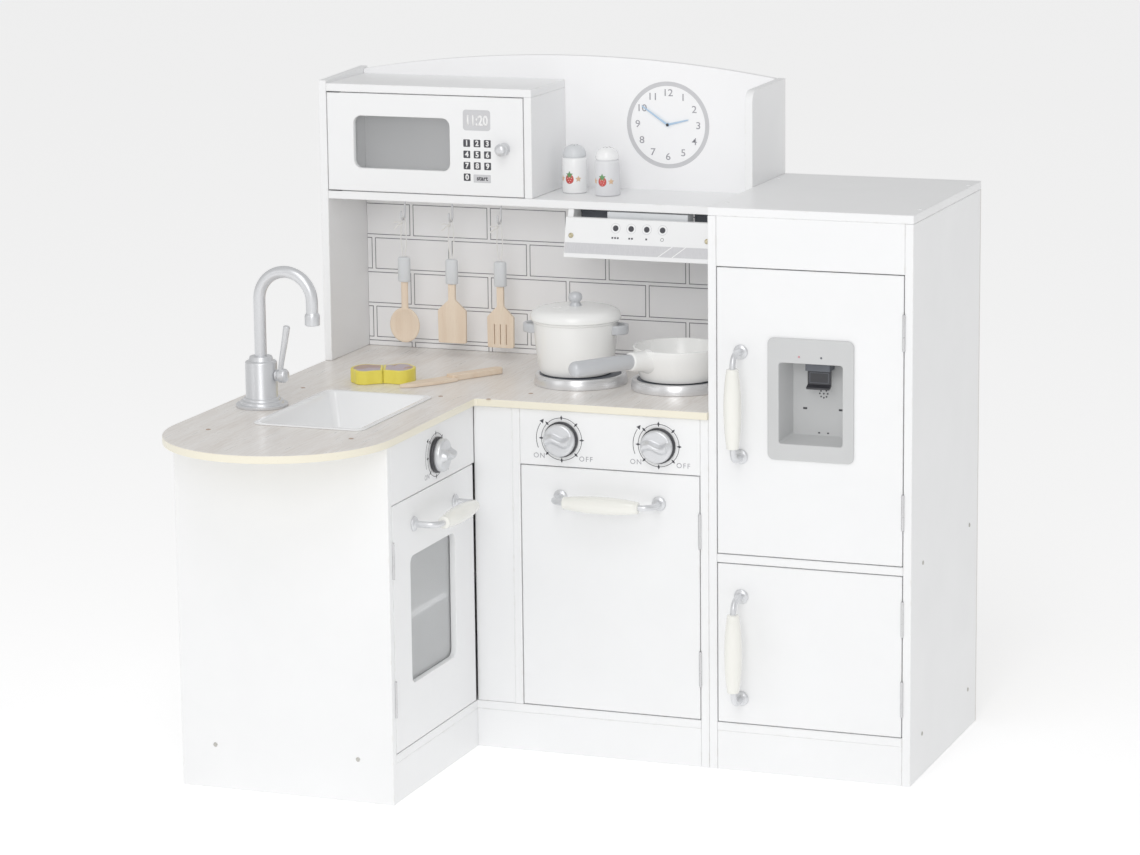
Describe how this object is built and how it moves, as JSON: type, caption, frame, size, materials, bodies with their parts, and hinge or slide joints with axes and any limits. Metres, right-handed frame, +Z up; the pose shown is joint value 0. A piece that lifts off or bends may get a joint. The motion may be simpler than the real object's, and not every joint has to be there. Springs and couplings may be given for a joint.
{
  "type": "toy kitchen",
  "caption": "White wooden toy corner kitchen with sink, tap, hob, oven, microwave, fridge with dispenser, hanging utensils and pans.",
  "frame": {"origin": "middle of the bounding box's footprint, at the floor", "axes": "+X to the right along the back wall, towards the fridge; +Y to the back; +Z up; the front faces -Y and the sink wing comes forward at -X"},
  "size_m": [0.982, 0.834, 0.981],
  "materials": {
    "white_paint": "satin painted board",
    "rear_sheet": "painted hardboard",
    "tile_board": "satin board with a printed tile pattern",
    "oak_top": "pale wood-grain foil with a cream edge band",
    "sink_plastic": "gloss white",
    "silver_paint": "silver paint",
    "burner_steel": "brushed ring with a black plate",
    "hook_steel": "bright",
    "clear_pane": "clear sheet",
    "ivory_grip": "ivory grip on silver arms",
    "grey_plastic": "satin grey",
    "black_plastic": "black",
    "blue_plastic": "light blue",
    "beech": "bare beech with grey painted tops",
    "cotton": "twisted cotton",
    "white_wood_ware": "white gloss paint with grey handles",
    "shaker_white": "white paint with a silver top",
    "shaker_grey": "grey paint with a white top",
    "yellow_paint": "yellow paint"
  },
  "bodies": {
    "cabinet": {"fridge_side_left": "white_paint", "fridge_side_right": "white_paint", "fridge_top": "white_paint", "fridge_mid_shelf": "white_paint", "fridge_base": "white_paint", "stove_side_right": "white_paint", "stove_control_panel": "white_paint", "corner_filler": "white_paint", "base_plinth": "white_paint", "wing_end_panel": "white_paint", "wing_control_panel": "white_paint", "wing_shelf": "white_paint", "tall_side_left": "white_paint", "upper_shelf": "white_paint", "microwave_case": "white_paint", "shelf_end_right": "white_paint", "hood": "white_paint", "rear_and_side_panel": "rear_sheet", "back_wall": "tile_board", "worktop": "oak_top", "sink_basin": "sink_plastic", "burner_left": "burner_steel", "burner_right": "burner_steel", "hook_1": "hook_steel", "hook_2": "hook_steel", "hook_3": "hook_steel"},
    "fridge_door_body": {"fridge_door": "white_paint", "fridge_handle": "ivory_grip", "dispenser_housing": "grey_plastic"},
    "dispenser_lever_body": {"dispenser_lever": "black_plastic"},
    "freezer_door_body": {"freezer_door": "white_paint", "freezer_handle": "ivory_grip"},
    "stove_door_body": {"stove_door": "white_paint", "stove_handle": "ivory_grip"},
    "wing_door_body": {"wing_door": "white_paint", "wing_window": "clear_pane", "wing_handle": "ivory_grip"},
    "microwave_door_body": {"microwave_door": "white_paint", "microwave_window": "clear_pane"},
    "stove_knob_left_body": {"stove_knob_left": "silver_paint"},
    "stove_knob_right_body": {"stove_knob_right": "silver_paint"},
    "wing_knob_body": {"wing_knob": "silver_paint"},
    "faucet_body": {"faucet": "silver_paint"},
    "faucet_lever_body": {"faucet_lever": "silver_paint"},
    "hour_hand_body": {"clock_hour_hand": "blue_plastic"},
    "minute_hand_body": {"clock_minute_hand": "blue_plastic"},
    "spoon_body": {"spoon": "beech", "string_1": "cotton"},
    "spatula_body": {"spatula": "beech", "string_2": "cotton"},
    "slotted_spatula_body": {"slotted_spatula": "beech", "string_3": "cotton"},
    "pot_body": {"pot": "white_wood_ware"},
    "pot_lid_body": {"pot_lid": "white_wood_ware"},
    "pan_body": {"pan": "white_wood_ware"},
    "salt_body": {"salt_shaker": "shaker_white"},
    "pepper_body": {"pepper_shaker": "shaker_grey"},
    "knife_body": {"toy_knife": "beech"},
    "food_left_body": {"toy_food_left": "yellow_paint"},
    "food_right_body": {"toy_food_right": "yellow_paint"}
  },
  "joints": [
    {"name": "fridge_door_hinge", "type": "hinge", "parent": "cabinet", "child": "fridge_door_body", "pos_m": [0.4783, 0.0545, 0.524], "axis": [0, 0, 1], "range_deg": [0, 110]},
    {"name": "dispenser_lever_pivot", "type": "hinge", "parent": "fridge_door_body", "child": "dispenser_lever_body", "pos_m": [0.349, 0.081, 0.5835], "axis": [1, 0, 0], "range_deg": [0, 18], "stiffness_Nm_per_rad": 0.02},
    {"name": "freezer_door_hinge", "type": "hinge", "parent": "cabinet", "child": "freezer_door_body", "pos_m": [0.4783, 0.0545, 0.188], "axis": [0, 0, 1], "range_deg": [0, 110]},
    {"name": "stove_door_hinge", "type": "hinge", "parent": "cabinet", "child": "stove_door_body", "pos_m": [0.18, 0.0545, 0.25], "axis": [0, 0, 1], "range_deg": [0, 100]},
    {"name": "wing_door_hinge", "type": "hinge", "parent": "cabinet", "child": "wing_door_body", "pos_m": [-0.1645, -0.2463, 0.25], "axis": [0, 0, -1], "range_deg": [0, 100]},
    {"name": "microwave_door_hinge", "type": "hinge", "parent": "cabinet", "child": "microwave_door_body", "pos_m": [-0.4783, 0.2585, 0.858], "axis": [0, 0, -1], "range_deg": [0, 100]},
    {"name": "stove_knob_left_turn", "type": "hinge", "parent": "cabinet", "child": "stove_knob_left_body", "pos_m": [-0.029, 0.055, 0.469], "axis": [0, -1, 0], "range_deg": [-135, 135]},
    {"name": "stove_knob_right_turn", "type": "hinge", "parent": "cabinet", "child": "stove_knob_right_body", "pos_m": [0.1185, 0.055, 0.469], "axis": [0, -1, 0], "range_deg": [-135, 135]},
    {"name": "wing_knob_turn", "type": "hinge", "parent": "cabinet", "child": "wing_knob_body", "pos_m": [-0.165, -0.0855, 0.466], "axis": [1, 0, 0], "range_deg": [-135, 135]},
    {"name": "faucet_swivel", "type": "hinge", "parent": "cabinet", "child": "faucet_body", "pos_m": [-0.43, -0.094, 0.522], "axis": [0, 0, 1], "range_deg": [-90, 90]},
    {"name": "faucet_lever_tilt", "type": "hinge", "parent": "faucet_body", "child": "faucet_lever_body", "pos_m": [-0.396, -0.094, 0.571], "axis": [1, 0, 0], "range_deg": [-35, 35]},
    {"name": "hour_hand_turn", "type": "hinge", "parent": "cabinet", "child": "hour_hand_body", "pos_m": [0.0145, 0.399, 0.882], "axis": [0, -1, 0], "continuous": true},
    {"name": "minute_hand_turn", "type": "hinge", "parent": "cabinet", "child": "minute_hand_body", "pos_m": [0.0145, 0.397, 0.882], "axis": [0, -1, 0], "continuous": true},
    {"name": "spoon_swing", "type": "hinge", "parent": "cabinet", "child": "spoon_body", "pos_m": [-0.386, 0.327, 0.7328], "axis": [0, 1, 0], "range_deg": [-8, 8]},
    {"name": "spatula_swing", "type": "hinge", "parent": "cabinet", "child": "spatula_body", "pos_m": [-0.308, 0.327, 0.7328], "axis": [0, 1, 0], "range_deg": [-8, 8]},
    {"name": "slotted_spatula_swing", "type": "hinge", "parent": "cabinet", "child": "slotted_spatula_body", "pos_m": [-0.229, 0.327, 0.7328], "axis": [0, 1, 0], "range_deg": [-8, 8]},
    {"name": "pot_lift", "type": "slide", "parent": "cabinet", "child": "pot_body", "axis": [0, 0, 1], "range_m": [0, 0.03]},
    {"name": "pot_lid_lift", "type": "slide", "parent": "pot_body", "child": "pot_lid_body", "axis": [0, 0, 1], "range_m": [0, 0.03]},
    {"name": "pan_lift", "type": "slide", "parent": "cabinet", "child": "pan_body", "axis": [0, 0, 1], "range_m": [0, 0.1]},
    {"name": "salt_lift", "type": "slide", "parent": "cabinet", "child": "salt_body", "axis": [0, 0, 1], "range_m": [0, 0.1]},
    {"name": "pepper_lift", "type": "slide", "parent": "cabinet", "child": "pepper_body", "axis": [0, 0, 1], "range_m": [0, 0.1]},
    {"name": "knife_lift", "type": "slide", "parent": "cabinet", "child": "knife_body", "axis": [0, 0, 1], "range_m": [0, 0.12]},
    {"name": "food_left_lift", "type": "slide", "parent": "cabinet", "child": "food_left_body", "axis": [0, 0, 1], "range_m": [0, 0.12]},
    {"name": "food_right_lift", "type": "slide", "parent": "cabinet", "child": "food_right_body", "axis": [0, 0, 1], "range_m": [0, 0.12]}
  ]
}
